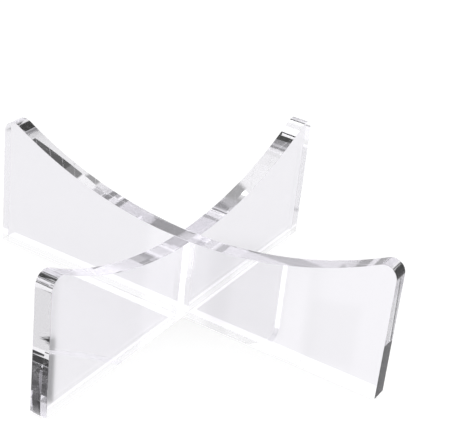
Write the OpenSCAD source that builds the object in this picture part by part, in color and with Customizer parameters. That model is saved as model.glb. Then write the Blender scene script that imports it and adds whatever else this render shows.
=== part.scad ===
// Cross-lap display stand for a football.
// Two plates of clear sheet, each with a hollow upper edge, slot over each other at right angles.
// The frame has +Z up, the origin under the middle of the crossing, the upper plate along X
// and the lower plate along Y. All sizes are in millimetres.

/* [Plates] */
// Length of each plate, end to end
plate_length = 150; // [120:1:180]
// Height of each plate's ends, up to the tip of the rounded corner
end_height = 47; // [42:1:60]
// Thickness of the acrylic sheet
sheet_thickness = 6; // [4:0.5:8]
// Radius of the rounded upper corners
corner_radius = 4; // [2:0.5:6]

/* [Ball saddle] */
// Radius of the hollow upper edge that the ball sits in
saddle_radius = 143; // [120:1:180]

/* [Cross-lap joint] */
// Gap between a plate's face and the slot wall beside it
slot_side_gap = 0.1; // [0.05:0.05:0.3]
// Gap between the two slot ends when both plates stand on the table
slot_end_gap = 0.2; // [0.1:0.1:0.6]

/* [Hidden] */

// The rounded corner touches the plate's end and, from outside, the saddle's circle.
corner_x = plate_length / 2 - corner_radius;
corner_z = end_height - corner_radius;
saddle_centre_z = corner_z + sqrt(pow(saddle_radius + corner_radius, 2) - pow(corner_x, 2));
middle_height = saddle_centre_z - saddle_radius;

// The point where the saddle's arc runs into the rounded corner
blend_share = corner_radius / (saddle_radius + corner_radius);
blend_x = corner_x * (1 - blend_share);
blend_z = corner_z + (saddle_centre_z - corner_z) * blend_share;

slot_width = sheet_thickness + 2 * slot_side_gap;
slot_end_z = middle_height / 2;
// Length by which a cutting shape runs past the face it opens
overrun = 1;

$fn = 360;

// Plate outline up to the saddle, without the rounded tips
module plate_below_saddle() {
    difference() {
        polygon([
            [-plate_length / 2, 0],
            [plate_length / 2, 0],
            [plate_length / 2, corner_z],
            [corner_x, corner_z],
            [blend_x, blend_z],
            [-blend_x, blend_z],
            [-corner_x, corner_z],
            [-plate_length / 2, corner_z]
        ]);
        translate([0, saddle_centre_z])
            circle(r = saddle_radius);
    }
}

// One rounded tip: the sector of the corner's circle between the end and the saddle
module rounded_tip() {
    intersection() {
        translate([corner_x, corner_z])
            circle(r = corner_radius);
        polygon([
            [corner_x, corner_z],
            [corner_x + 2 * corner_radius, corner_z],
            [corner_x + 2 * corner_radius, corner_z + 2 * corner_radius],
            [blend_x - (corner_x - blend_x), blend_z + (blend_z - corner_z)],
            [blend_x, blend_z]
        ]);
    }
}

module plate_outline() {
    union() {
        plate_below_saddle();
        rounded_tip();
        mirror([1, 0])
            rounded_tip();
    }
}

// A whole plate standing along X, centred on the crossing
module whole_plate() {
    rotate([90, 0, 0])
        linear_extrude(height = sheet_thickness, center = true)
            plate_outline();
}

// The space that a slot takes out of a plate standing along X, between two heights
module slot_space(low_z, high_z) {
    translate([-slot_width / 2, -sheet_thickness / 2 - overrun, low_z])
        cube([slot_width, sheet_thickness + 2 * overrun, high_z - low_z]);
}

// Slotted from below, so its saddle runs unbroken over the crossing
module upper_plate() {
    color([0.90, 0.91, 0.95, 0.35])
        difference() {
            whole_plate();
            slot_space(-overrun, slot_end_z + slot_end_gap / 2);
        }
}

// Slotted from above, so its bottom edge runs unbroken under the crossing
module lower_plate() {
    color([0.86, 0.87, 0.92, 0.35])
        rotate([0, 0, 90])
            difference() {
                whole_plate();
                slot_space(slot_end_z - slot_end_gap / 2, end_height);
            }
}

upper_plate();
lower_plate();
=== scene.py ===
"""Looks of the clear acrylic football stand: its two plates, a white studio and a camera."""

from math import asin, atan2, cos, pi, radians, sin, sqrt

import bmesh
import bpy
from mathutils import Matrix, Vector


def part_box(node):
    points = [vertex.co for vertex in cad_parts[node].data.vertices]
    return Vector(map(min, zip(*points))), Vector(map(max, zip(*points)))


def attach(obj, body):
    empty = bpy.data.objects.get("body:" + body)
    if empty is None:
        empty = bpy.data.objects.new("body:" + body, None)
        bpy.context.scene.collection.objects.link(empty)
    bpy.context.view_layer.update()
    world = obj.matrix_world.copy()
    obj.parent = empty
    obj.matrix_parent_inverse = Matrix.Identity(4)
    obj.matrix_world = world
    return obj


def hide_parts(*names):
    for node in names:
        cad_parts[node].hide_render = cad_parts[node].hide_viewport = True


MM = 0.001

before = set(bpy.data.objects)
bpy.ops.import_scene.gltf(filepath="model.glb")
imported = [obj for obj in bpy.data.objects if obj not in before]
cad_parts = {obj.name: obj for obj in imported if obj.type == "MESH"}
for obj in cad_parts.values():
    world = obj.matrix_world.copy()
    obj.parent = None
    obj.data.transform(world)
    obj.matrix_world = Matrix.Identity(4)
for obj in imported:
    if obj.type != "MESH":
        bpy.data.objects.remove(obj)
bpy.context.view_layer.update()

# ---------------------------------------------------------------- plate sizes, in metres
upper_low, upper_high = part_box("upper_plate")
PLATE_LENGTH = upper_high.x - upper_low.x
THICKNESS = upper_high.y - upper_low.y
END_HEIGHT = upper_high.z
SADDLE_RADIUS = 143 * MM
CORNER_RADIUS = 4 * MM
SLOT_SIDE_GAP = 0.1 * MM
SLOT_WIDTH = THICKNESS + 2 * SLOT_SIDE_GAP
SLOT_END_GAP = 0.2 * MM
EDGE_ROUND = 0.5 * MM

corner_x = PLATE_LENGTH / 2 - CORNER_RADIUS
corner_z = END_HEIGHT - CORNER_RADIUS
saddle_centre_z = corner_z + sqrt((SADDLE_RADIUS + CORNER_RADIUS) ** 2 - corner_x**2)
middle_height = saddle_centre_z - SADDLE_RADIUS
slot_end_z = middle_height / 2
blend_angle = atan2(saddle_centre_z - corner_z, -corner_x)

SADDLE_STEP = 1.0 * MM
CORNER_STEPS = 24
ROWS_BELOW = 4
ROWS_ABOVE = 6
EDGE_SEGMENTS = 3
SHARP_EDGE_ANGLE = radians(40)

# places of the materials in a plate's material list
FACE, CUT_EDGE, SCRAPED_CORNER = range(3)


# ---------------------------------------------------------------- plate meshes
def outline_stations():
    """Points along the plate's top edge, from its middle to its right end, as (distance, height)."""
    blend_x = corner_x + CORNER_RADIUS * cos(blend_angle)
    slot_half = SLOT_WIDTH / 2
    found = [(0.0, middle_height)]
    first = asin(slot_half / SADDLE_RADIUS)
    last = asin(blend_x / SADDLE_RADIUS)
    steps = round((last - first) * SADDLE_RADIUS / SADDLE_STEP)
    for i in range(steps + 1):
        angle = first + (last - first) * i / steps
        found.append((SADDLE_RADIUS * sin(angle), saddle_centre_z - SADDLE_RADIUS * cos(angle)))
    for i in range(1, CORNER_STEPS + 1):
        angle = blend_angle * (1 - i / CORNER_STEPS)
        found.append((corner_x + CORNER_RADIUS * cos(angle), corner_z + CORNER_RADIUS * sin(angle)))
    return found


def column_heights(top_z, split_z):
    """Heights of one column's points: even rows up to the slot's end, then even rows up to the top edge."""
    below = [split_z * j / ROWS_BELOW for j in range(ROWS_BELOW)]
    above = [split_z + (top_z - split_z) * j / ROWS_ABOVE for j in range(ROWS_ABOVE + 1)]
    return below + above


def plate_mesh(name, slot_from_top):
    """A plate along X with its slot, as a closed mesh of quads."""
    half = outline_stations()
    stations = [(-x, z) for x, z in reversed(half[1:])] + half
    split_z = slot_end_z + (-SLOT_END_GAP if slot_from_top else SLOT_END_GAP) / 2
    columns = [column_heights(z, split_z) for _, z in stations]
    rows = ROWS_BELOW + ROWS_ABOVE

    def in_slot(i, j):
        middle = (stations[i][0] + stations[i + 1][0]) / 2
        return abs(middle) < SLOT_WIDTH / 2 and (j >= ROWS_BELOW) == slot_from_top

    def is_solid(i, j):
        inside = 0 <= i < len(stations) - 1 and 0 <= j < rows
        return inside and not in_slot(i, j)

    bm = bmesh.new()
    made = {}

    def corner(i, j, side):
        key = (i, j, side)
        if key not in made:
            made[key] = bm.verts.new((stations[i][0], side * THICKNESS / 2, columns[i][j]))
        return made[key]

    def face(points, material):
        bm.faces.new([corner(*p) for p in points]).material_index = material

    for i in range(len(stations) - 1):
        for j in range(rows):
            if not is_solid(i, j):
                continue
            around = [(i, j), (i + 1, j), (i + 1, j + 1), (i, j + 1)]
            face([(a, b, -1) for a, b in around], FACE)
            face([(a, b, 1) for a, b in reversed(around)], FACE)
            beside = [(i, j - 1), (i + 1, j), (i, j + 1), (i - 1, j)]
            for k, neighbour in enumerate(beside):
                if not is_solid(*neighbour):
                    (a, b), (c, d) = around[k], around[(k + 1) % 4]
                    face([(c, d, -1), (a, b, -1), (a, b, 1), (c, d, 1)], CUT_EDGE)
    for f in bm.faces:
        f.smooth = True
    mesh = bpy.data.meshes.new(name)
    bm.to_mesh(mesh)
    bm.free()
    return mesh


def rounded(obj):
    """Rounds off the plate's sharp edges and applies it, so that the mesh itself has the real edge."""
    bevel = obj.modifiers.new("edge_round", "BEVEL")
    bevel.width = EDGE_ROUND
    bevel.segments = EDGE_SEGMENTS
    bevel.limit_method = "ANGLE"
    bevel.angle_limit = SHARP_EDGE_ANGLE
    bevel.harden_normals = True
    bevel.material = SCRAPED_CORNER
    bpy.context.view_layer.update()
    evaluated = obj.evaluated_get(bpy.context.evaluated_depsgraph_get())
    done = bpy.data.meshes.new_from_object(evaluated)
    obj.modifiers.clear()
    obj.data = done
    return obj


def plate(name, node, slot_from_top, turn, materials):
    obj = bpy.data.objects.new(name, plate_mesh(name, slot_from_top))
    bpy.context.scene.collection.objects.link(obj)
    for material in materials:
        obj.data.materials.append(material)
    obj.data.transform(Matrix.Rotation(turn, 4, "Z"))
    rounded(obj)
    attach(obj, node)
    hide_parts(node)
    return obj


# ---------------------------------------------------------------- node trees
class Graph:
    """Adds nodes to a material's or a world's tree."""

    def __init__(self, tree):
        self.nodes = tree.nodes
        self.links = tree.links

    def put(self, value, socket):
        if isinstance(value, (int, float)):
            socket.default_value = value
        else:
            self.links.new(value, socket)

    def math(self, operation, first, second=0.0):
        node = self.nodes.new("ShaderNodeMath")
        node.operation = operation
        self.put(first, node.inputs[0])
        self.put(second, node.inputs[1])
        return node.outputs[0]

    def coordinates(self, kind):
        return self.nodes.new("ShaderNodeTexCoord").outputs[kind]

    def split(self, vector):
        node = self.nodes.new("ShaderNodeSeparateXYZ")
        self.links.new(vector, node.inputs[0])
        return node.outputs

    def within(self, value, middle, half_width, softness):
        """1 where value is inside half_width of middle and 0 outside, with a soft step between."""
        away = self.math("ABSOLUTE", self.math("SUBTRACT", value, middle))
        node = self.nodes.new("ShaderNodeMapRange")
        node.interpolation_type = "SMOOTHSTEP"
        self.links.new(away, node.inputs["Value"])
        node.inputs["From Min"].default_value = half_width - softness / 2
        node.inputs["From Max"].default_value = half_width + softness / 2
        node.inputs["To Min"].default_value = 1.0
        node.inputs["To Max"].default_value = 0.0
        return node.outputs["Result"]

    def blend(self, share, first, second):
        node = self.nodes.new("ShaderNodeMix")
        self.links.new(share, node.inputs["Factor"])
        self.put(first, node.inputs["A"])
        self.put(second, node.inputs["B"])
        return node.outputs["Result"]

    def mix_shaders(self, share, first, second):
        node = self.nodes.new("ShaderNodeMixShader")
        self.put(share, node.inputs["Fac"])
        self.put(first.outputs[0], node.inputs[1])
        self.put(second.outputs[0], node.inputs[2])
        return node

    def crowding(self, distance):
        """1 where something stands within distance, 0 where nearly all directions are open."""
        node = self.nodes.new("ShaderNodeAmbientOcclusion")
        node.samples = 8
        node.inputs["Distance"].default_value = distance
        return self.within(node.outputs["AO"], middle=0.0, half_width=0.85, softness=0.2)

    def is_camera(self):
        return self.nodes.new("ShaderNodeLightPath").outputs["Is Camera Ray"]


# ---------------------------------------------------------------- acrylic
ACRYLIC_IOR = 1.49
POLISH_WAVE_LENGTH = 4 * MM
POLISH_WAVE_HEIGHT = 0.0015 * MM
SCRAPE_MARK_LENGTH = 1 * MM
SCRAPE_MARK_HEIGHT = 0.01 * MM
SCRAPED_ROUGHNESS = 0.3


def principled(name):
    material = bpy.data.materials.new(name)
    material.use_nodes = True
    return material, material.node_tree.nodes["Principled BSDF"]


def acrylic(name, colour, roughness=0.0):
    """Clear acrylic. The colour is what is left of white light that has gone in and out again."""
    material, shader = principled(name)
    shader.inputs["Base Color"].default_value = (*colour, 1)
    shader.inputs["Roughness"].default_value = roughness
    shader.inputs["IOR"].default_value = ACRYLIC_IOR
    shader.inputs["Transmission Weight"].default_value = 1.0
    return material, shader


def ripple(material, shader, length, height):
    """Very low waves that polishing or scraping leaves, as bump."""
    graph = Graph(material.node_tree)
    noise = graph.nodes.new("ShaderNodeTexNoise")
    noise.inputs["Scale"].default_value = 1 / length
    noise.inputs["Detail"].default_value = 2
    bump = graph.nodes.new("ShaderNodeBump")
    bump.inputs["Distance"].default_value = height
    graph.put(graph.coordinates("Object"), noise.inputs["Vector"])
    graph.put(noise.outputs["Fac"], bump.inputs["Height"])
    graph.put(bump.outputs["Normal"], shader.inputs["Normal"])


def sheet_face():
    material, _ = acrylic("acrylic_sheet_face", (0.985, 0.983, 0.992))
    return material


def cut_edge():
    material, shader = acrylic("acrylic_polished_edge", (0.95, 0.94, 0.97))
    ripple(material, shader, POLISH_WAVE_LENGTH, POLISH_WAVE_HEIGHT)
    return material


def scraped_corner():
    """The plates' sharp corners are scraped, which leaves a narrow frosted line."""
    material, shader = acrylic("acrylic_scraped_corner", (0.97, 0.965, 0.985), SCRAPED_ROUGHNESS)
    ripple(material, shader, SCRAPE_MARK_LENGTH, SCRAPE_MARK_HEIGHT)
    return material


skin = [sheet_face(), cut_edge(), scraped_corner()]
plate("upper_plate_clear", "upper_plate", False, 0.0, skin)
plate("lower_plate_clear", "lower_plate", True, pi / 2, skin)


# ---------------------------------------------------------------- studio floor
FLOOR_HALF_SIZE = 4.0
FLOOR_GAP = 0.05 * MM
PLAIN_BASE = 0.4
PLAIN_GLOW = 0.72
SHEET_BASE = 0.2
SHEET_GLOW = 0.62
SHEET_TINT = (0.975, 0.965, 1.0)
MIRROR_SHARE = 0.55
MIRROR_TINT = (0.97, 0.96, 0.99)
MIRROR_ROUGHNESS = 0.03
# painted light on the floor beside the plates' feet: how bright, how soft its edges and how far it reaches
PAINTED_FOOT_LIGHT = 1.15
PAINTED_FOOT_LIGHT_SOFTNESS = 0.6 * MM
UPPER_FOOT_REACH = 3.4 * MM
LOWER_FOOT_REACH = 1.1 * MM


def painted_foot_light(graph):
    """The sheet's own brightness, with painted light added in a strip beside each plate's foot, where a
    standing plate would pipe light down. A plate that is lifted off leaves next to none."""
    place = graph.split(graph.coordinates("Object"))
    standing = graph.crowding(END_HEIGHT / 3)
    level = SHEET_GLOW
    for along, across, reach in (("X", "Y", UPPER_FOOT_REACH), ("Y", "X", LOWER_FOOT_REACH)):
        beside = graph.math("ABSOLUTE", place[across])
        near = graph.within(beside, (THICKNESS + reach) / 2, reach / 2, PAINTED_FOOT_LIGHT_SOFTNESS)
        under = graph.within(place[along], 0.0, PLATE_LENGTH / 2, PAINTED_FOOT_LIGHT_SOFTNESS)
        strip = graph.math("MULTIPLY", near, under)
        # painted light: raises the floor's emission in the strip while a plate stands there
        level = graph.blend(graph.math("MULTIPLY", strip, standing), level, PAINTED_FOOT_LIGHT)
    return level


def matt(shader, base, glow_tint):
    """Matt, and partly lit by itself, so that it stays even."""
    shader.inputs["Base Color"].default_value = (base, base, base, 1)
    shader.inputs["Roughness"].default_value = 1.0
    shader.inputs["Specular IOR Level"].default_value = 0.0
    shader.inputs["Emission Color"].default_value = (*glow_tint, 1)
    return shader


def studio_floor():
    """Plain white to the camera, as on a cut-out product picture. The plates mirror and refract the
    real floor, a pale sheet that is half a mirror."""
    material, shader = principled("studio_floor")
    graph = Graph(material.node_tree)
    plain = matt(shader, PLAIN_BASE, (1, 1, 1))
    plain.inputs["Emission Strength"].default_value = PLAIN_GLOW
    paper = matt(graph.nodes.new("ShaderNodeBsdfPrincipled"), SHEET_BASE, SHEET_TINT)
    # the sheet's emission, with the painted light beside the plates' feet
    graph.put(painted_foot_light(graph), paper.inputs["Emission Strength"])
    mirror = graph.nodes.new("ShaderNodeBsdfGlossy")
    mirror.inputs["Color"].default_value = (*MIRROR_TINT, 1)
    mirror.inputs["Roughness"].default_value = MIRROR_ROUGHNESS
    sheet = graph.mix_shaders(MIRROR_SHARE, paper, mirror)
    seen = graph.mix_shaders(graph.is_camera(), sheet, plain)
    graph.put(seen.outputs["Shader"], graph.nodes["Material Output"].inputs["Surface"])
    return material


def floor():
    bm = bmesh.new()
    bmesh.ops.create_grid(bm, x_segments=8, y_segments=8, size=FLOOR_HALF_SIZE)
    mesh = bpy.data.meshes.new("floor")
    bm.to_mesh(mesh)
    bm.free()
    obj = bpy.data.objects.new("floor", mesh)
    obj.location.z = -FLOOR_GAP
    bpy.context.scene.collection.objects.link(obj)
    mesh.materials.append(studio_floor())


floor()


# ---------------------------------------------------------------- studio light
class Surroundings(Graph):
    """Light around the stand: a pale dome with soft-edged bright and dark panels in given directions."""

    def __init__(self, brightness):
        world = bpy.data.worlds.new("studio")
        world.use_nodes = True
        bpy.context.scene.world = world
        super().__init__(world.node_tree)
        self.direction = self.coordinates("Generated")
        self.elevation = self.math("ARCSINE", self.split(self.direction)["Z"])
        self.level = brightness

    def dot(self, axis):
        node = self.nodes.new("ShaderNodeVectorMath")
        node.operation = "DOT_PRODUCT"
        self.links.new(self.direction, node.inputs[0])
        node.inputs[1].default_value = axis
        return node.outputs["Value"]

    def panel(self, azimuth, elevation, brightness, softness):
        """azimuth and elevation are (low, high) in degrees, azimuth from +Y towards +X."""
        middle = radians((azimuth[0] + azimuth[1]) / 2)
        ahead = self.dot((sin(middle), cos(middle), 0))
        beside = self.dot((cos(middle), -sin(middle), 0))
        turn = self.math("ARCTAN2", beside, ahead)
        across = self.within(turn, 0.0, radians(azimuth[1] - azimuth[0]) / 2, radians(softness))
        self.add(across, elevation, brightness, softness)

    def ring(self, elevation, brightness, softness):
        """The same all the way round."""
        self.add(1.0, elevation, brightness, softness)

    def add(self, across, elevation, brightness, softness):
        middle = radians((elevation[0] + elevation[1]) / 2)
        half = radians((elevation[1] - elevation[0]) / 2)
        rise = self.within(self.elevation, middle, half, radians(softness))
        self.level = self.blend(self.math("MULTIPLY", across, rise), self.level, brightness)

    def finish(self, plain):
        """Everything but the camera sees the panels. The camera sees plain white past the floor's edge."""
        background = self.nodes["Background"]
        background.inputs["Color"].default_value = (1, 1, 1, 1)
        self.put(self.blend(self.is_camera(), self.level, plain), background.inputs["Strength"])


# how bright each kind of panel is; 1 is white paper in full light
DOME = 0.9
LAMP_RING = 1.5
CEILING = 0.75
BACKDROP = 1.0
LIT_BACKDROP = 1.12
WHITE_SHEET = 1.35
GREY_WALL = 0.4
STRIP_LAMP = 2.2
PALE_CARD = 0.8
BLACK_CARD = 0.05
VELVET_CARD = 0.02
PLAIN_WHITE = 1.1


def lamps_above(studio):
    """A ring of lamps round a duller ceiling, so that the plates stay visible from above."""
    studio.ring((50, 130), LAMP_RING, softness=10)
    studio.ring((68, 112), CEILING, softness=8)


def backdrop(studio):
    """White paper ahead of the camera, which the plates' faces show by way of the floor. A part of it is
    better lit, and a brighter sheet stands low at its left."""
    studio.panel((-50, 46), (22, 50), BACKDROP, softness=3)
    studio.panel((-24, -18), (28, 37), LIT_BACKDROP, softness=2)
    studio.panel((-52, -42), (3, 22), WHITE_SHEET, softness=2)


def cards_by_the_backdrop(studio):
    """Dark accents: one in the front-left end, a streak in steps along the back-left top edge, and a
    tone on the front-right arm's inner face."""
    studio.panel((-34, -31), (10, 21), VELVET_CARD, softness=1)
    studio.panel((29.2, 31.8), (0.5, 8.5), BLACK_CARD, softness=0.5)
    studio.panel((40.6, 45), (8, 20.5), BLACK_CARD, softness=0.5)
    studio.panel((38.4, 41), (18.5, 24.5), BLACK_CARD, softness=0.5)
    studio.panel((36.4, 38.8), (23, 27), BLACK_CARD, softness=0.4)
    studio.panel((33.8, 36.8), (25.9, 30.4), brightness=0.2, softness=0.5)
    studio.panel((20, 29.4), (29.3, 37), brightness=0.45, softness=0.8)


def wall_behind_the_camera(studio):
    """A grey wall, with two strip lamps before it. One lamp is the white upright line across the
    front-right face and the other the one where the plates cross."""
    studio.panel((110, 228), (36, 56), GREY_WALL, softness=3)
    studio.panel((204.3, 208.2), (30, 34), STRIP_LAMP, softness=0.4)
    studio.panel((210.2, 212.6), (27, 35), STRIP_LAMP, softness=0.4)


def cards_behind_the_camera(studio):
    """Dark accents in the front-right end and along the back-right top edge."""
    studio.panel((213, 218.5), (3.5, 20.5), BLACK_CARD, softness=0.6)
    studio.panel((201.5, 204), (31.3, 34), BLACK_CARD, softness=0.4)
    studio.panel((194, 198), (34, 38), BLACK_CARD, softness=0.6)
    studio.panel((144.5, 151.5), (9, 21), BLACK_CARD, softness=1)
    studio.panel((132, 146), (36, 46), BLACK_CARD, softness=1)
    studio.panel((146.5, 150.2), (30.5, 37), brightness=0.35, softness=1)


def cards_for_the_front_left_end(studio):
    """A dark accent at its corner, its pale upper part and its black lower part. The plate's two faces
    turn the light to either side before it leaves, so there is a pair of cards on each side."""
    studio.panel((50, 60), (50, 58), BLACK_CARD, softness=2)
    for azimuth in ((-39, -37), (36.9, 38.6)):
        studio.panel(azimuth, (31.5, 34.1), PALE_CARD, softness=0.15)
        studio.panel(azimuth, (34.05, 36.8), VELVET_CARD, softness=0.15)


surroundings = Surroundings(DOME)
lamps_above(surroundings)
backdrop(surroundings)
cards_by_the_backdrop(surroundings)
wall_behind_the_camera(surroundings)
cards_behind_the_camera(surroundings)
cards_for_the_front_left_end(surroundings)
surroundings.finish(PLAIN_WHITE)


# ---------------------------------------------------------------- light paths
# Light that stays trapped in a plate for more bounces than this counts as lost, which makes the plates'
# tips and ends black.
BOUNCES = 16

scene = bpy.context.scene
scene.view_settings.view_transform = "Standard"
scene.cycles.max_bounces = BOUNCES
scene.cycles.transmission_bounces = BOUNCES
scene.cycles.glossy_bounces = BOUNCES

# ---------------------------------------------------------------- camera
CAMERA_AZIMUTH = radians(28.56)
CAMERA_ELEVATION = radians(28.01)
CAMERA_ROLL = radians(6.68)
CAMERA_DISTANCE = 442.46 * MM
AIM_RIGHT = 17.88 * MM
AIM_UP = 32.87 * MM
CAMERA_LENS = 101.31
CAMERA_SENSOR = 36


def studio_camera():
    forward = Vector(
        (
            -sin(CAMERA_AZIMUTH) * cos(CAMERA_ELEVATION),
            cos(CAMERA_AZIMUTH) * cos(CAMERA_ELEVATION),
            -sin(CAMERA_ELEVATION),
        )
    )
    level = Vector((cos(CAMERA_AZIMUTH), sin(CAMERA_AZIMUTH), 0))
    above = level.cross(forward)
    right = cos(CAMERA_ROLL) * level + sin(CAMERA_ROLL) * above
    up = cos(CAMERA_ROLL) * above - sin(CAMERA_ROLL) * level
    data = bpy.data.cameras.new("studio_camera")
    data.lens = CAMERA_LENS
    data.sensor_width = CAMERA_SENSOR
    camera = bpy.data.objects.new("studio_camera", data)
    bpy.context.scene.collection.objects.link(camera)
    aim = AIM_RIGHT * right + AIM_UP * up
    turned = Matrix((right, up, -forward)).transposed().to_4x4()
    camera.matrix_world = Matrix.Translation(aim - CAMERA_DISTANCE * forward) @ turned
    bpy.context.scene.camera = camera


studio_camera()
